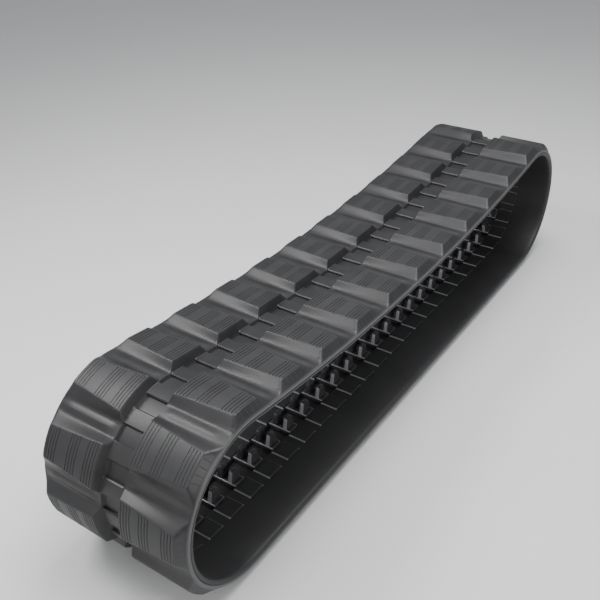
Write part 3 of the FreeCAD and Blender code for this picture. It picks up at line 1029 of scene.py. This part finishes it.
class TRACK_OT_wheel_side(bpy.types.Operator):
    """Make the left and right bands of wheel-side rubber with their roller pads"""
    bl_idname = "track.wheel_side"
    bl_label = "Wheel-side rubber"

    def execute(self, context):
        rubber = wheel_side_rubber()
        lay_skin("inner_left", band_cell(1), 1, rubber)
        lay_skin("inner_right", band_cell(-1), 1, rubber)
        return {"FINISHED"}


class TRACK_OT_cores(bpy.types.Operator):
    """Make the forged steel cores with their guide lugs, grouped by stretch"""
    bl_idname = "track.cores"
    bl_label = "Steel cores"

    def execute(self, context):
        belt = sizes("track_belt")
        line = belt_line()
        tree = core_tree()
        core = united_core()
        steel = forged_core_steel()
        for stretch, (first, last, body) in STRETCHES.items():
            piece = grown(f"{stretch}_forged_cores", tree, {
                "Core": core,
                "Belt line": line,
                "Cores": last - first,
                "Pitch": belt.pitch,
                "First station": plane_station(first) + belt.pitch / 2,
                "Steel": steel,
            })
            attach(piece, body)
            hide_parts(f"{stretch}_cores")
        discard(core, line)
        return {"FINISHED"}


class TRACK_OT_cord_plies(bpy.types.Operator):
    """Finish the steel cord plies, which keep their CAD shape"""
    bl_idname = "track.cord_plies"
    bl_label = "Cord plies"

    def execute(self, context):
        cord = brass_plated_cord()
        for stretch in STRETCHES:
            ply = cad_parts[f"{stretch}_cord_plies"]
            ply.data.materials.clear()
            ply.data.materials.append(cord)
        return {"FINISHED"}


def area_light(name, place, target, size, power):
    """A soft square light that points at a target."""
    lamp = bpy.data.lights.new(name, "AREA")
    lamp.size = size
    lamp.energy = power
    holder = placed(name, lamp)
    holder.location = place
    holder.rotation_euler = (Vector(target) - Vector(place)).to_track_quat("-Z", "Y").to_euler()


class TRACK_OT_stage(bpy.types.Operator):
    """Make the floor, the soft lights and the camera"""
    bl_idname = "track.stage"
    bl_label = "Studio stage"

    def execute(self, context):
        stage = sizes("track_stage")
        reach = stage.floor_size
        mesh = bpy.data.meshes.new("floor")
        corners = [(-reach, -reach, 0), (reach, -reach, 0), (reach, reach, 0), (-reach, reach, 0)]
        mesh.from_pydata(corners, [], [(0, 1, 2, 3)])
        mesh.materials.append(pale_floor())
        floor = placed("floor", mesh)
        world = bpy.data.worlds.new("studio")
        world.use_nodes = True
        world.node_tree.nodes["Background"].inputs["Color"].default_value = (0.9, 0.92, 0.95, 1)
        world.node_tree.nodes["Background"].inputs["Strength"].default_value = stage.sky
        context.scene.world = world
        middle = (0, 0, 0.25)
        area_light("overhead", (0.4, -0.4, 3.4), middle, 2.2, stage.overhead)
        area_light("key", (-1.3, 1.3, 2.4), middle, 0.9, stage.key)
        area_light("front_fill", (-3.4, 1.0, 1.5), middle, 1.5, stage.front)
        area_light("side_fill", (-1.6, -3.4, 1.4), middle, 1.2, stage.fill)
        lens = bpy.data.cameras.new("camera")
        lens.sensor_width = 36
        lens.lens = stage.lens
        lens.clip_end = 100
        camera = placed("camera", lens)
        camera.location = stage.camera_place
        camera.rotation_euler = stage.camera_turn
        context.scene.camera = camera
        return {"FINISHED"}


class TRACK_PT_panel(bpy.types.Panel):
    """Sizes, colours and steps of the track"""
    bl_idname = "TRACK_PT_panel"
    bl_label = "Rubber crawler track"
    bl_space_type = "VIEW_3D"
    bl_region_type = "UI"
    bl_category = "Track"

    def draw(self, context):
        for name, group in SIZE_GROUPS.items():
            box = self.layout.box()
            box.label(text=group.__doc__)
            for field in group.__annotations__:
                box.prop(getattr(context.scene, name), field)
        for step in STEPS:
            self.layout.operator(step.bl_idname)


STEPS = (TRACK_OT_tread, TRACK_OT_wheel_side, TRACK_OT_cores, TRACK_OT_cord_plies, TRACK_OT_stage)
CLASSES = (*SIZE_GROUPS.values(), *STEPS, TRACK_PT_panel)


def register():
    for made in CLASSES:
        bpy.utils.register_class(made)
    for name, group in SIZE_GROUPS.items():
        setattr(bpy.types.Scene, name, PointerProperty(type=group))


def unregister():
    for name in SIZE_GROUPS:
        delattr(bpy.types.Scene, name)
    for made in reversed(CLASSES):
        bpy.utils.unregister_class(made)


def main():
    register()
    bpy.ops.track.tread()
    bpy.ops.track.wheel_side()
    bpy.ops.track.cores()
    bpy.ops.track.cord_plies()
    bpy.ops.track.stage()


if __name__ == "__main__":
    main()
